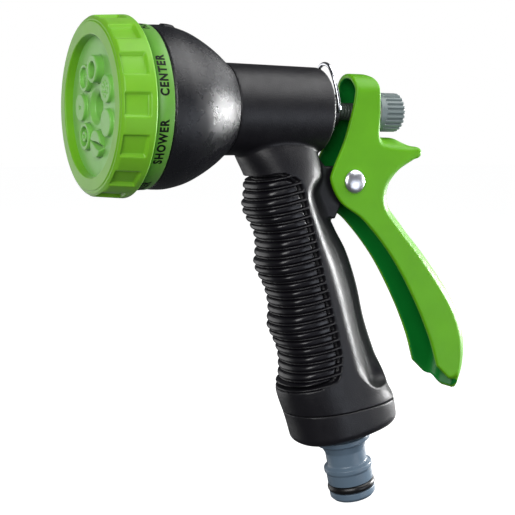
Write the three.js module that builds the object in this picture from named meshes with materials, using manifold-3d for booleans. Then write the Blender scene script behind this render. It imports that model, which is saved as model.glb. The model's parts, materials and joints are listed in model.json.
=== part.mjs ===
// Pistol hose nozzle with a seven-pattern dial, a rear lever and a flow-limiting knob.
// Millimetres, +Z up. The origin is the centre of the hose inlet at the foot of the handle.
// -X is the way the water leaves. The barrel runs along X; the handle leans back by HANDLE_LEAN.

import * as THREE from 'three';
import { mergeVertices } from 'three/addons/utils/BufferGeometryUtils.js';
import Module from 'manifold-3d';

const wasm = await Module();
wasm.setup();

// ---------------------------------------------------------------- driving dimensions

const GAP = 0.3;                       // clearance between neighbouring pieces
const DIAL_FRONT = new THREE.Vector3(-104.15, 0, 143.33);   // centre of the dial's front rim
const HANDLE_LEAN = THREE.MathUtils.degToRad(-12.71);

// Dial, measured along X from its front rim
const PATTERNS = 7;
const PITCH_ANGLE = 2 * Math.PI / PATTERNS;
const GRIP_RECESSES = 2 * PATTERNS;
const DIAL_FRONT_R = 29.3;
const DIAL_REAR_R = 30;
const DIAL_LENGTH = 11.84;
const DIAL_MOUTH_R = 23;
const DIAL_BORE_R = 24.5;
const RECESS_DEPTH = 1.2;
const LABEL_RING_R = 27.35;
const LABEL_RING_BORE_R = 25.5;
const LABEL_RING_END = 18.62;
const FACE_X = 2.8;                    // floor of the face
const BOSS_CIRCLE_R = 12.3;
const BOSS_R = 4.5;
const JET_ANGLE = THREE.MathUtils.degToRad(-12.86);   // from +Z towards +Y
const CUP_R = 5.1;
const CUP_BORE_R = 3.9;
const HUB_R = 6.2;
const HUB_BORE_R = 4.4;
const SCREW_SEAT_X = 10.8;
const SCREW_X = SCREW_SEAT_X - 2.8;
const SCREW_R = 1.7;

// Bell, barrel and valve, along the same axis
const BELL_START = 18.92;
const BELL_END = 47.61;
const BELL_R = 27.3;
const BELL_WALL = 2;
const BARREL_START = BELL_END + GAP;
const BARREL_END = 85.35;
const BARREL_FRONT_R = 15.9;
const BARREL_REAR_R = 15.41;
const BARREL_BORE_R = 12;
const CAP_R = 12.9;
const CAP_START = 79.3;
const MANIFOLD_X = 16.1;
const MANIFOLD_R = 25;
const SEAT_X = 46;
const SEAT_LENGTH = 5;
const STEM_R = 2.95;
const STEM_BORE_R = 3.45;
const STEM_END = 117.9;
const GLAND_R = 6.8;
const GLAND_START = 85.4 + GAP;
const GLAND_END = 93.5;
const KNOB_X = 110.1;
const KNOB_R = 7.15;
const KNOB_END = 120.2;
const WIRE_R = 0.7;
const WIRE_PIVOT_X = 91.2;

// Lever: its pivot, and the half width that grows towards its tip
const PIVOT = new THREE.Vector2(97.9, -25.2);
const LEVER_TOP_Z = 13;
const LEVER_TOP_HALF_WIDTH = 7;
const LEVER_WIDENING = 2 / 118;
const LEVER_ARCH_Z = 6;
const LEVER_WALL = 1.8;
const BRACKET_HALF_WIDTH = 4.5;
const RIVET_R = 2;
const RIVET_HEAD_R = 4.3;

// Handle, in its own frame: height s up its axis, depth v towards the lever
const PAD_THICKNESS = 1.8;
const COLLAR_BOTTOM = 24.5;
const HANDLE_BOTTOM = 36.6;
const HANDLE_TOP = 140;
const PASSAGE_R = 6.3;
const ADAPTER_BORE_R = 4.8;
const SPIGOT_R = 8;
const SPIGOT_TOP = 44;

// ---------------------------------------------------------------- materials

const plastic = (color, roughness) => new THREE.MeshStandardMaterial({ color, roughness, metalness: 0 });
const metal = (color, roughness) => new THREE.MeshStandardMaterial({ color, roughness, metalness: 1 });

const BLACK = plastic('#1d1e21', 0.45);
const RUBBER = plastic('#0a0a0c', 0.3);
const SEAL_RUBBER = plastic('#161616', 0.6);
const DIAL_GREEN = plastic('#78b92d', 0.35);
const FACE_GREEN = plastic('#89c476', 0.4);
const LABEL_GREEN = plastic('#67a047', 0.4);
const LEVER_GREEN = plastic('#62ad26', 0.25);
const ADAPTER_GREY = plastic('#5b7087', 0.35);
const KNOB_GREY = plastic('#767f7f', 0.4);
const ACETAL = plastic('#d9d9d4', 0.4);
const CHROME = metal('#d4d6da', 0.12);
const STEEL = metal('#9a9c9f', 0.35);
const BRASS = metal('#c2a25a', 0.3);

// ---------------------------------------------------------------- solids

// A body turned about X from a profile of [x, radius] points.
function turned(profile, segments = 16) {
  const points = profile.map(([x, r]) => new THREE.Vector2(r, x));
  return new THREE.LatheGeometry(points, segments).rotateZ(-Math.PI / 2);
}

function tube(start, end, bore, radius, segments = 16) {
  return turned([[start, bore], [start, radius], [end, radius], [end, bore], [start, bore]], segments);
}

function disc(start, end, radius, segments = 16) {
  return turned([[start, 0], [start, radius], [end, radius], [end, 0]], segments);
}

// The same three, stood up along the handle's axis.
const upright = (geometry) => geometry.rotateY(-Math.PI / 2);

function roundRing(centreRadius, wireRadius, segments = 18, sides = 5) {
  return new THREE.TorusGeometry(centreRadius, wireRadius, sides, segments).rotateY(Math.PI / 2);
}

// A copy of a body drawn on the axis, moved out to the angle of one pattern.
function atPattern(geometry, angle, radius = BOSS_CIRCLE_R) {
  return geometry.translate(0, radius * Math.sin(angle), radius * Math.cos(angle));
}

const patternAngles = Array.from({ length: PATTERNS }, (_, i) => JET_ANGLE + i * PITCH_ANGLE);

// An outline in the XZ plane given a thickness along Y, centred on Y = 0.
function slab(shape, halfWidth, curveSegments = 6) {
  const geometry = new THREE.ExtrudeGeometry(shape, {
    depth: 2 * halfWidth, bevelEnabled: false, curveSegments,
  });
  return geometry.translate(0, 0, -halfWidth).rotateX(Math.PI / 2);
}

function outline(points) {
  return new THREE.Shape(points.map(([a, b]) => new THREE.Vector2(a, b)));
}

function circle(radius, sides, x = 0, y = 0) {
  const path = new THREE.Path();
  path.absarc(x, y, radius, 0, 2 * Math.PI);
  return new THREE.Path(path.getSpacedPoints(sides).slice(0, sides));
}

function alongCurve(curve, radius, steps, sides = 8) {
  const section = new THREE.Shape(circle(radius, sides).getPoints());
  return new THREE.ExtrudeGeometry(section, { extrudePath: curve, steps, bevelEnabled: false });
}

// A closed body through rings of equal count, each end closed by a fan about its own centre.
function loft(rings) {
  const count = rings[0].length;
  const centre = (ring) => ring.reduce((sum, p) => sum.add(p), new THREE.Vector3()).divideScalar(count);
  const vertices = [...rings.flat(), centre(rings[0]), centre(rings.at(-1))];
  const index = [];
  for (let j = 0; j < rings.length - 1; j++) {
    for (let i = 0; i < count; i++) {
      const next = (i + 1) % count;
      const [a, b] = [j * count + i, j * count + next];
      const [c, d] = [a + count, b + count];
      index.push(a, b, d, a, d, c);
    }
  }
  const last = (rings.length - 1) * count;
  for (let i = 0; i < count; i++) {
    const next = (i + 1) % count;
    index.push(next, i, rings.length * count);
    index.push(last + i, last + next, rings.length * count + 1);
  }
  const geometry = new THREE.BufferGeometry().setFromPoints(vertices);
  geometry.setIndex(index);
  return geometry;
}

function solid(geometry) {
  const bare = geometry.clone();
  bare.deleteAttribute('normal');
  bare.deleteAttribute('uv');
  const merged = mergeVertices(bare, 1e-4);
  const corners = merged.index.array;
  const triVerts = [];
  for (let i = 0; i < corners.length; i += 3) {
    const [a, b, c] = [corners[i], corners[i + 1], corners[i + 2]];
    if (a !== b && b !== c && c !== a) triVerts.push(a, b, c);
  }
  return new wasm.Manifold(new wasm.Mesh({
    numProp: 3,
    vertProperties: merged.attributes.position.array,
    triVerts: Uint32Array.from(triVerts),
  }));
}

function surfaceOf(body) {
  const mesh = body.getMesh();
  const geometry = new THREE.BufferGeometry();
  geometry.setAttribute('position', new THREE.BufferAttribute(mesh.vertProperties, mesh.numProp));
  geometry.setIndex(Array.from(mesh.triVerts));
  return geometry;
}

function join(first, ...others) {
  return surfaceOf(others.reduce((body, other) => body.add(solid(other)), solid(first)));
}

function cut(first, ...tools) {
  return surfaceOf(tools.reduce((body, tool) => body.subtract(solid(tool)), solid(first)));
}

// ---------------------------------------------------------------- frames

const nozzle = new THREE.Group();
const barrelFrame = new THREE.Group();
barrelFrame.position.copy(DIAL_FRONT);
const handleFrame = new THREE.Group();
handleFrame.rotation.y = HANDLE_LEAN;
nozzle.add(barrelFrame, handleFrame);
nozzle.updateMatrixWorld(true);
const handleToBarrel = barrelFrame.matrixWorld.clone().invert().multiply(handleFrame.matrixWorld);

function piece(frame, name, geometry, material) {
  const mesh = new THREE.Mesh(geometry, material.clone());
  mesh.name = name;
  frame.add(mesh);
}

// ---------------------------------------------------------------- dial

// Ring with fourteen shallow finger recesses around its side.
function dialGripRing() {
  const sides = GRIP_RECESSES * 4;
  const side = [[1, 29.1], [2.2, 29.37], [9.6, 29.85], [10.6, DIAL_REAR_R]];
  const ring = turned([
    [0, DIAL_MOUTH_R], [0, 28.3], ...side, [DIAL_LENGTH, DIAL_REAR_R],
    [DIAL_LENGTH, DIAL_BORE_R], [FACE_X - GAP, DIAL_BORE_R], [FACE_X - GAP, DIAL_MOUTH_R],
    [0, DIAL_MOUTH_R],
  ], sides);
  const position = ring.attributes.position;
  for (let i = 0; i < position.count; i++) {
    const x = position.getX(i);
    const radius = Math.hypot(position.getY(i), position.getZ(i));
    if (radius < DIAL_FRONT_R - 0.5 || x < 1.5 || x > 10) continue;
    const turn = Math.atan2(position.getY(i), position.getZ(i)) - Math.PI / 2;
    const inRecess = 0.5 + 0.5 * Math.cos(GRIP_RECESSES * turn);
    const scale = (radius - RECESS_DEPTH * Math.min(1, 1.4 * inRecess)) / radius;
    position.setY(i, position.getY(i) * scale);
    position.setZ(i, position.getZ(i) * scale);
  }
  return ring;
}

function labelRing() {
  return tube(DIAL_LENGTH + GAP, LABEL_RING_END, LABEL_RING_BORE_R, LABEL_RING_R, 42);
}

const INSERT_PATTERNS = { jet: 0, shower: 1, cone: 3, fan: 4 };

// Face plate: seven outlets with a water cup behind each, around a sunk hub for the screw.
function sprayPlate() {
  const cups = patternAngles.map((angle) => atPattern(disc(4.8, 11.6, CUP_R, 12), angle));
  const bosses = [2, 5, 6].map((i) => atPattern(turned([
    [1.5, 0], [1.5, BOSS_R - 0.3], [1.8, BOSS_R], [3.5, BOSS_R], [3.5, 0],
  ], 12), patternAngles[i]));
  const plate = join(disc(FACE_X, 5, DIAL_BORE_R - GAP, 36), disc(4, 11.6, HUB_R, 16), ...cups, ...bosses);
  const cupBores = patternAngles.map((angle) => atPattern(disc(4.4, 13, CUP_BORE_R, 10), angle));
  const insertSeats = Object.values(INSERT_PATTERNS).map(
    (i) => atPattern(disc(1, 4.6, BOSS_R + GAP, 12), patternAngles[i]));
  const dotHole = atPattern(disc(0, 5, 0.8, 10), patternAngles[2]);
  const soakHole = atPattern(disc(0, 5, 0.6, 10), patternAngles[5]);
  const fineHoles = Array.from({ length: 6 }, (_, i) => {
    const turn = i * Math.PI / 3;
    const hole = disc(0, 5, 0.4, 6).translate(0, 2.4 * Math.sin(turn), 2.4 * Math.cos(turn));
    return atPattern(hole, patternAngles[6]);
  });
  const screwBore = turned([
    [2, 0], [2, HUB_R + 0.8], [4.1, HUB_BORE_R], [SCREW_SEAT_X, HUB_BORE_R],
    [SCREW_SEAT_X, SCREW_R + 0.4], [13, SCREW_R + 0.4], [13, 0],
  ], 16);
  return cut(plate, ...cupBores, ...insertSeats, dotHole, soakHole, ...fineHoles, screwBore);
}

const insertBody = (front) => turned([
  [front, 0], [front, BOSS_R - 0.3], [front + 0.3, BOSS_R], [4.3, BOSS_R], [4.3, 0],
], 14);

const inserts = {
  jet: () => cut(insertBody(0.2), disc(0, 5, 2.9, 12)),
  shower: () => cut(insertBody(1.2), disc(1, 2.3, 3.3, 12),
    ...[0, 1, 2, 3, 4, 5].map((i) => disc(2, 5, 0.45, 6)
      .translate(0, 1.9 * Math.sin(i * Math.PI / 3), 1.9 * Math.cos(i * Math.PI / 3)))),
  cone: () => cut(insertBody(1.3), tube(1, 2.6, 1.7, 3.2, 12), disc(1, 5, 0.8, 8)),
  fan: () => cut(insertBody(1.1),
    slab(outline([[0, -2.2], [3.4, -0.25], [5, -0.25], [5, 0.25], [3.4, 0.25], [0, 2.2]]), 3.4)
      .rotateX(THREE.MathUtils.degToRad(35))),
};

function dialPlate(start, end, radius, openingRadius) {
  return cut(disc(start, end, radius, 32), disc(start - 1, end + 1, SCREW_R + 0.4, 12),
    ...patternAngles.map((angle) => atPattern(disc(start - 1, end + 1, openingRadius, 10), angle)));
}

function dialBackPlate() {
  const ballGroove = tube(14.6, 17, 18.1, 21.9, 28);
  return cut(dialPlate(12.9, 15.6, LABEL_RING_BORE_R - GAP, 2.6), ballGroove);
}

function dialScrew() {
  const body = turned([
    [SCREW_X, 0], [SCREW_X, 2.9], [SCREW_X + 0.7, 3.9], [SCREW_SEAT_X - 1.4, 3.9],
    [SCREW_SEAT_X - 1.4, SCREW_R], [27, SCREW_R], [27, 0],
  ], 14);
  const armEnd = SCREW_X + 0.8;
  const crossArm = slab(outline([[4, -0.45], [armEnd, -0.45], [armEnd, 0.45], [4, 0.45]]), 2.2);
  return cut(body, crossArm, crossArm.clone().rotateX(Math.PI / 2));
}

piece(barrelFrame, 'dial_grip_ring', dialGripRing(), DIAL_GREEN);
piece(barrelFrame, 'label_ring', labelRing(), LABEL_GREEN);
piece(barrelFrame, 'spray_plate', sprayPlate(), FACE_GREEN);
for (const [name, shape] of Object.entries(inserts)) {
  piece(barrelFrame, `${name}_insert`, atPattern(shape(), patternAngles[INSERT_PATTERNS[name]]), FACE_GREEN);
}
piece(barrelFrame, 'dial_gasket', dialPlate(11.9, 12.6, 24.2, CUP_BORE_R), SEAL_RUBBER);
piece(barrelFrame, 'dial_back_plate', dialBackPlate(), ACETAL);
piece(barrelFrame, 'dial_screw', dialScrew(), STEEL);
piece(barrelFrame, 'screw_washer', tube(SCREW_SEAT_X - 1.1, SCREW_SEAT_X - 0.3, SCREW_R + 0.4, 4.1, 14), STEEL);

// ---------------------------------------------------------------- bell and water outlet

const PORT_X = 26;

// Fixed plate behind the dial: the outlet port, the ball's pocket and the boss for the screw.
function manifoldPlate() {
  const body = join(disc(MANIFOLD_X, 20.5, MANIFOLD_R, 32), disc(20, 28, 4.5, 12),
    atPattern(disc(20, PORT_X, 6, 14), JET_ANGLE));
  return cut(body, disc(16, 27.5, SCREW_R + GAP, 16),
    atPattern(disc(16, 22.2, 4.6, 14), JET_ANGLE), atPattern(disc(22, PORT_X + 1, 2.6, 12), JET_ANGLE),
    atPattern(disc(16, 19.8, 1.8, 10), JET_ANGLE + Math.PI, 20));
}

function helix(start, end, radius, turns) {
  class Coil extends THREE.Curve {
    getPoint(t) {
      const turn = 2 * Math.PI * turns * t;
      return new THREE.Vector3(start + (end - start) * t, radius * Math.sin(turn), radius * Math.cos(turn));
    }
  }
  return new Coil();
}

// Bent pipe from the valve seat on the axis up to the outlet port.
function outletDuct() {
  const [dy, dz] = [BOSS_CIRCLE_R * Math.sin(JET_ANGLE), BOSS_CIRCLE_R * Math.cos(JET_ANGLE)];
  const route = new THREE.CubicBezierCurve3(
    new THREE.Vector3(SEAT_X - GAP, 0, 0), new THREE.Vector3(36, 0, 0),
    new THREE.Vector3(36, dy, dz), new THREE.Vector3(PORT_X + 2 * GAP, dy, dz));
  const section = new THREE.Shape(circle(4.6, 12).getPoints());
  section.holes.push(circle(3.3, 12));
  return new THREE.ExtrudeGeometry(section, { extrudePath: route, steps: 9, bevelEnabled: false });
}

// Dome behind the dial, with a small pointer raised on it.
function bellHousing() {
  const domeKnots = [[25.5, 27.25], [31.8, 25.7], [37.1, 23.1], [42.4, 19.85], [BELL_END, 15.96]]
    .map(([x, r]) => new THREE.Vector2(x, r));
  const dome = new THREE.SplineCurve(domeKnots).getPoints(7).map((p) => [p.x, p.y]);
  const inside = [7, 4, 2].map((i) => [dome[i][0], Math.max(dome[i][1] - BELL_WALL, 13.7)]);
  const shell = turned([
    [BELL_START, MANIFOLD_R + GAP], [BELL_START, BELL_R], ...dome, ...inside,
    [25.5, MANIFOLD_R + GAP], [BELL_START, MANIFOLD_R + GAP],
  ], 36);
  const pointer = slab(outline([[23, 26.4], [23.3, 27.8], [27.2, 27.4], [28, 26]]), 1.6)
    .rotateX(-JET_ANGLE);
  return join(shell, pointer);
}

piece(barrelFrame, 'bell_housing', bellHousing(), BLACK);
piece(barrelFrame, 'manifold_plate', manifoldPlate(), BLACK);
piece(barrelFrame, 'outlet_seal', atPattern(tube(15.9, 19.2, 2.3, 4.3, 14), JET_ANGLE), SEAL_RUBBER);
const sealSpring = alongCurve(helix(19.9, 21.5, 3.5, 2.5), 0.3, 24, 5);
piece(barrelFrame, 'outlet_seal_spring', atPattern(sealSpring, JET_ANGLE), STEEL);
piece(barrelFrame, 'detent_ball', atPattern(new THREE.SphereGeometry(1.4, 10, 6).translate(16.4, 0, 0),
  JET_ANGLE + Math.PI, 20), STEEL);
piece(barrelFrame, 'detent_spring', atPattern(alongCurve(helix(18.3, 19.5, 1.1, 2), 0.2, 16, 5),
  JET_ANGLE + Math.PI, 20), STEEL);
piece(barrelFrame, 'outlet_duct', outletDuct(), ACETAL);

// ---------------------------------------------------------------- handle sections

const along = (points) => {
  const curve = new THREE.SplineCurve(points.map(([s, value]) => new THREE.Vector2(s, value)));
  const samples = curve.getPoints(points.length * 12);
  return (s) => {
    const i = samples.findIndex((p) => p.x >= s);
    if (i <= 0) return (i === 0 ? samples[0] : samples.at(-1)).y;
    const [low, high] = [samples[i - 1], samples[i]];
    return THREE.MathUtils.mapLinear(s, low.x, high.x, low.y, high.y);
  };
};

// Front edge with its three finger grooves, rear edge, half width and the ridge beside the scoop.
const frontEdge = along([
  [24, -19.4], [36, -20.4], [47.8, -21.9], [52.6, -19], [60.2, -17.4], [66.2, -18.2], [72, -19.5],
  [77.7, -17.7], [84.9, -17.5], [94.5, -19.9], [100, -18.2], [106.2, -17.4], [115.5, -20.2],
  [121.3, -18.4], [126.5, -17.7], [134.7, -20.3], [141, -21.5],
]);
const rearEdge = along([
  [24, 22.6], [34, 22.9], [39.6, 21.3], [47.5, 20.4], [63.8, 17.9], [78.6, 17.3], [91.5, 15.5],
  [101.1, 12.4], [113.9, 9.2], [125.6, 9.7], [141, 9.5],
]);
const halfWidth = along([[24, 15], [36, 15], [47, 14.7], [80, 14.2], [118, 13.6], [130, 12.6], [141, 10]]);
const ridgeDepth = along([
  [36, 9], [48, 7.2], [61.6, 6.5], [70, 5.9], [80.7, 5],
  [92, 3.9], [104, 2.3], [114, 1.2], [122, 1.2], [141, 3],
]);
const scoopShare = (s) => THREE.MathUtils.smoothstep(s, 41, 52);
const SPINE_HALF_WIDTH = 5;
const QUARTER_STEPS = 5;

// One section across the handle, shrunk by inset on every side.
function handleSection(s, inset = 0) {
  const front = frontEdge(s) + inset;
  const rear = rearEdge(s) - inset;
  const width = halfWidth(s) - inset;
  const ridge = ridgeDepth(s);
  const widest = THREE.MathUtils.lerp(front, ridge, 0.62);
  const half = [];
  for (let i = 0; i <= QUARTER_STEPS; i++) {
    const t = i / QUARTER_STEPS * Math.PI / 2;
    half.push([widest - (widest - front) * Math.cos(t), width * Math.sin(t) ** 0.85]);
  }
  const spine = SPINE_HALF_WIDTH - inset / 2;
  const scooped = [
    [ridge, width * 0.97], [ridge + 1.6, width * 0.82], [ridge + 3, width * 0.62],
    [ridge + 5.2, spine + 1.6], [Math.min(ridge + 8, rear - 2), spine],
    [rear - 1.2, spine - 0.4], [rear, spine - 2.4],
  ];
  scooped.forEach(([v, w], i) => {
    const t = (1 - (i + 0.5) / (scooped.length + 0.5)) * Math.PI / 2;
    const full = [widest + (rear - widest) * Math.cos(t), width * Math.sin(t) ** 0.75];
    const share = scoopShare(s);
    half.push([THREE.MathUtils.lerp(full[0], v, share), THREE.MathUtils.lerp(full[1], w, share)]);
  });
  const farSide = half.slice(1).reverse().map(([v, w]) => [v, -w]);
  return [...half, ...farSide].map(([v, w]) => new THREE.Vector3(v, -w, s));
}

const stations = Array.from({ length: 21 }, (_, i) =>
  THREE.MathUtils.lerp(HANDLE_BOTTOM, HANDLE_TOP, i / 20));

function handleLoft(inset = 0) {
  return loft(stations.map((s) => handleSection(s, inset)));
}

// Side view of the ground that the ribbed pad covers, in [depth, height].
function padZone(grow) {
  const zone = new THREE.Shape();
  zone.moveTo(-40, 47 - grow);
  zone.lineTo(-12, 47 - grow);
  zone.quadraticCurveTo(-4, 50 - grow, -1.8 + grow, 61);
  zone.lineTo(-4 + grow, 119);
  zone.quadraticCurveTo(-5, 125 + grow, -12, 127 + grow);
  zone.lineTo(-40, 127 + grow);
  return slab(zone, 30);
}

// ---------------------------------------------------------------- main body

// Side view of the plate that carries the lever's pivot, in [x, z] of the barrel.
function bracketPlate() {
  const shape = new THREE.Shape();
  shape.moveTo(80, -13);
  shape.lineTo(88, -19.8);
  shape.lineTo(PIVOT.x - 1, PIVOT.y + 5.6);
  shape.absarc(PIVOT.x, PIVOT.y, 5.6, 1.75, -1.9, true);
  shape.lineTo(92, -38.7);
  shape.lineTo(82, -34);
  return slab(shape, BRACKET_HALF_WIDTH);
}

// One moulding: the barrel, the handle behind and under the pad, and the pivot bracket.
function mainBody() {
  const inBarrel = (geometry) => geometry.applyMatrix4(handleToBarrel);
  const barrel = turned([
    [40, 0], [40, 13.2], [BARREL_START, 13.2], [BARREL_START, BARREL_FRONT_R],
    [BARREL_END - 0.6, BARREL_REAR_R], [BARREL_END, BARREL_REAR_R - 0.6], [BARREL_END, 0],
  ], 36);
  const whole = solid(inBarrel(handleLoft()));
  const underPad = solid(inBarrel(handleLoft(PAD_THICKNESS + GAP)));
  const grip = whole.subtract(solid(inBarrel(padZone(GAP)))).add(underPad);
  const body = grip.add(solid(barrel)).add(solid(bracketPlate()));
  const hollows = [
    disc(39, CAP_START - GAP, BARREL_BORE_R, 28), disc(CAP_START - 1, 90, CAP_R + GAP, 28),
    inBarrel(upright(disc(30, 138, PASSAGE_R, 16))), inBarrel(upright(disc(30, 45, SPIGOT_R + 0.6, 20))),
    disc(-20, 20, RIVET_R + GAP, 18).rotateZ(Math.PI / 2).translate(PIVOT.x, 0, PIVOT.y),
  ];
  return surfaceOf(hollows.reduce((left, hollow) => left.subtract(solid(hollow)), body));
}

function gripPad() {
  const zone = solid(padZone(0));
  return surfaceOf(solid(handleLoft()).intersect(zone).subtract(solid(handleLoft(PAD_THICKNESS))));
}

// Rounded foot of the handle, around the adapter.
function gripEndCollar() {
  const collarHeight = HANDLE_BOTTOM - GAP - COLLAR_BOTTOM;
  const roundedSteps = [[0, 3], [0.4, 1.7], [1.4, 0.6], [3, 0], [6, 0], [collarHeight, 0]];
  const rings = roundedSteps.map(([up, inset]) => handleSection(COLLAR_BOTTOM + up, inset));
  return cut(loft(rings), upright(disc(20, 40, SPIGOT_R + 0.6, 28)));
}

piece(barrelFrame, 'main_body', mainBody(), BLACK);
piece(handleFrame, 'grip_pad', gripPad(), RUBBER);
piece(handleFrame, 'grip_end_collar', gripEndCollar(), BLACK);

// ---------------------------------------------------------------- hose inlet

// Click-on nipple: seal groove, catch collar, neck and flange, then the spigot in the handle.
function hoseAdapter() {
  return upright(turned([
    [0, ADAPTER_BORE_R], [0, 7.6], [1.1, 8.53], [3.3, 8.53], [3.3, 6.5], [5.6, 6.5], [5.6, 8.5], [10.6, 8.5],
    [11.2, 9], [12.8, 9], [13.8, 7.5], [19.4, 7.5], [21.2, 8.4], [22.6, 10.2], [24, 10.2], [24, SPIGOT_R],
    [38.8, SPIGOT_R], [38.8, 6.4], [41.2, 6.4], [41.2, SPIGOT_R], [SPIGOT_TOP, SPIGOT_R],
    [SPIGOT_TOP, ADAPTER_BORE_R], [0, ADAPTER_BORE_R],
  ], 20));
}

function inletFilter() {
  const shape = new THREE.Shape(circle(ADAPTER_BORE_R - GAP, 16).getPoints());
  shape.holes.push(circle(0.8, 6));
  for (let i = 0; i < 6; i++) {
    const turn = i * Math.PI / 3;
    shape.holes.push(circle(0.8, 6, 2.5 * Math.cos(turn), 2.5 * Math.sin(turn)));
  }
  return new THREE.ExtrudeGeometry(shape, { depth: 1, bevelEnabled: false }).translate(0, 0, 15);
}

piece(handleFrame, 'hose_adapter', hoseAdapter(), ADAPTER_GREY);
piece(handleFrame, 'adapter_seal_ring', upright(roundRing(7.87, 1)).translate(0, 0, 4.44), SEAL_RUBBER);
piece(handleFrame, 'spigot_seal_ring', upright(roundRing(7.5, 0.8)).translate(0, 0, 40), SEAL_RUBBER);
piece(handleFrame, 'inlet_filter', inletFilter(), STEEL);
piece(handleFrame, 'water_tube', upright(tube(45.4, 132, 4.6, 6, 16)), ACETAL);

// ---------------------------------------------------------------- valve

function valveSeat() {
  const end = SEAT_X + SEAT_LENGTH;
  return turned([
    [SEAT_X, 4.2], [SEAT_X, 11.7], [47.6, 11.7], [47.6, 9.9], [49.7, 9.9], [49.7, 11.7], [end, 11.7],
    [end, 4.2], [SEAT_X, 4.2],
  ]);
}

// Riveted head in front of the poppet, a thin neck through it, then the long threaded rod.
function valveStem() {
  return turned([
    [49, 0], [49, 3.1], [49.4, 3.5], [51, 3.5], [51, 2.2], [57.6, 2.2], [57.6, STEM_R],
    [STEM_END - 0.6, STEM_R], [STEM_END, STEM_R - 0.6], [STEM_END, 0],
  ], 14);
}

function rearCap() {
  return turned([
    [CAP_START, STEM_BORE_R], [CAP_START, CAP_R], [BARREL_END - GAP, CAP_R], [BARREL_END - GAP, 5.4],
    [82, 5.4], [82, STEM_BORE_R], [CAP_START, STEM_BORE_R],
  ]);
}

function glandNut() {
  const nut = turned([
    [GLAND_START, STEM_BORE_R], [GLAND_START, GLAND_R],
    [GLAND_END - 0.9, GLAND_R], [GLAND_END, GLAND_R - 0.9],
    [GLAND_END, STEM_BORE_R], [GLAND_START, STEM_BORE_R],
  ]);
  const wireHole = disc(4.9, 9, WIRE_R + GAP, 12);
  return cut(nut, wireHole.clone().rotateZ(Math.PI / 2).translate(WIRE_PIVOT_X, 0, 0),
    wireHole.rotateZ(-Math.PI / 2).translate(WIRE_PIVOT_X, 0, 0));
}

piece(barrelFrame, 'valve_seat', valveSeat(), ACETAL);
piece(barrelFrame, 'seat_seal_ring', roundRing(10.95, 0.75).translate(48.65, 0, 0), SEAL_RUBBER);
piece(barrelFrame, 'valve_stem', valveStem(), STEEL);
piece(barrelFrame, 'poppet_seal', tube(51.3, 53.2, 2.5, 6.8, 18), SEAL_RUBBER);
piece(barrelFrame, 'poppet', tube(53.5, 57.3, 2.5, 7.6, 18), ACETAL);
piece(barrelFrame, 'return_spring', alongCurve(helix(58.3, 78.4, 5.2, 6.5), 0.5, 52, 4), STEEL);
piece(barrelFrame, 'rear_cap', rearCap(), BLACK);
piece(barrelFrame, 'stem_seal_ring', roundRing(4.2, 0.85).translate(83.3, 0, 0), SEAL_RUBBER);
piece(barrelFrame, 'gland_nut', glandNut(), BLACK);

// ---------------------------------------------------------------- lever and its rivet

const leverHalfWidth = (z) => LEVER_TOP_HALF_WIDTH + (LEVER_TOP_Z - z) * LEVER_WIDENING;

// Side view of the lever: front edge, pointed tip, long back, the beak under the knob, and the arched top.
function leverOutline() {
  const curve = (points) => points.map(([x, z]) => new THREE.Vector2(x, z));
  const shape = new THREE.Shape();
  shape.moveTo(98.7, 13.2);
  shape.splineThru(curve([[99.3, 7], [97.6, 0], [94.1, -10.9], [89.4, -21], [88.8, -25.6], [93.2, -33],
    [102.9, -39.6], [114.8, -52.9], [124.6, -68.4], [132.1, -83.8], [136.3, -97]]));
  shape.lineTo(147.1, -105.2);
  shape.splineThru(curve([[149.6, -95.8], [149.2, -83.7], [143.5, -71.2], [131.2, -55.1], [119.4, -41.5],
    [114.1, -33.5], [114.3, -26.8], [118.4, -21.3], [126.5, -16.4]]));
  shape.quadraticCurveTo(127.6, -13.6, 124.6, -13.2);
  shape.splineThru(curve([[118.5, -12.4], [111.5, -11.2], [109, -7.2], [109.6, 0.2], [109.2, 8]]));
  shape.quadraticCurveTo(108.9, 12.5, 106.6, 12.7);
  return shape;
}

// Side view of the channel inside it, running out past the front edge and the tip.
function channelOutline() {
  const curve = (points) => points.map(([x, z]) => new THREE.Vector2(x, z));
  const shape = new THREE.Shape();
  shape.moveTo(80, 11.2);
  shape.lineTo(105, 11.2);
  shape.quadraticCurveTo(107.2, 10.6, 107.3, 5);
  shape.splineThru(curve([[107.3, 0], [106.7, -7.6], [111.2, -13.4], [118.5, -14.8], [113.6, -20.4],
    [111.8, -27], [111.9, -34], [117.6, -43], [129.4, -56.6], [141.4, -72.4], [147, -84.5], [147.3, -95]]));
  shape.lineTo(145.4, -106);
  shape.lineTo(110, -108);
  shape.lineTo(80, -60);
  return shape;
}

// Stretches a slab's sides to the lever's half width at each height.
function widened(geometry, inset) {
  const position = geometry.attributes.position;
  for (let i = 0; i < position.count; i++) {
    const half = leverHalfWidth(position.getZ(i)) - inset;
    position.setY(i, Math.sign(position.getY(i)) * half);
  }
  return geometry;
}

// Keeps what lies under a round arch of the given radius.
function underArch(geometry, radius) {
  const arch = new THREE.Shape();
  arch.moveTo(12, -LEVER_ARCH_Z);
  arch.lineTo(12, 130);
  arch.lineTo(-12, 130);
  arch.lineTo(-12, -LEVER_ARCH_Z);
  arch.lineTo(-radius, -LEVER_ARCH_Z);
  arch.absarc(0, -LEVER_ARCH_Z, radius, -Math.PI, 0);
  const vault = new THREE.ExtrudeGeometry(arch, { depth: 80, bevelEnabled: false, curveSegments: 12 });
  vault.rotateZ(-Math.PI / 2).rotateY(Math.PI / 2).translate(75, 0, 0);
  return surfaceOf(solid(geometry).intersect(solid(vault)));
}

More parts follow.
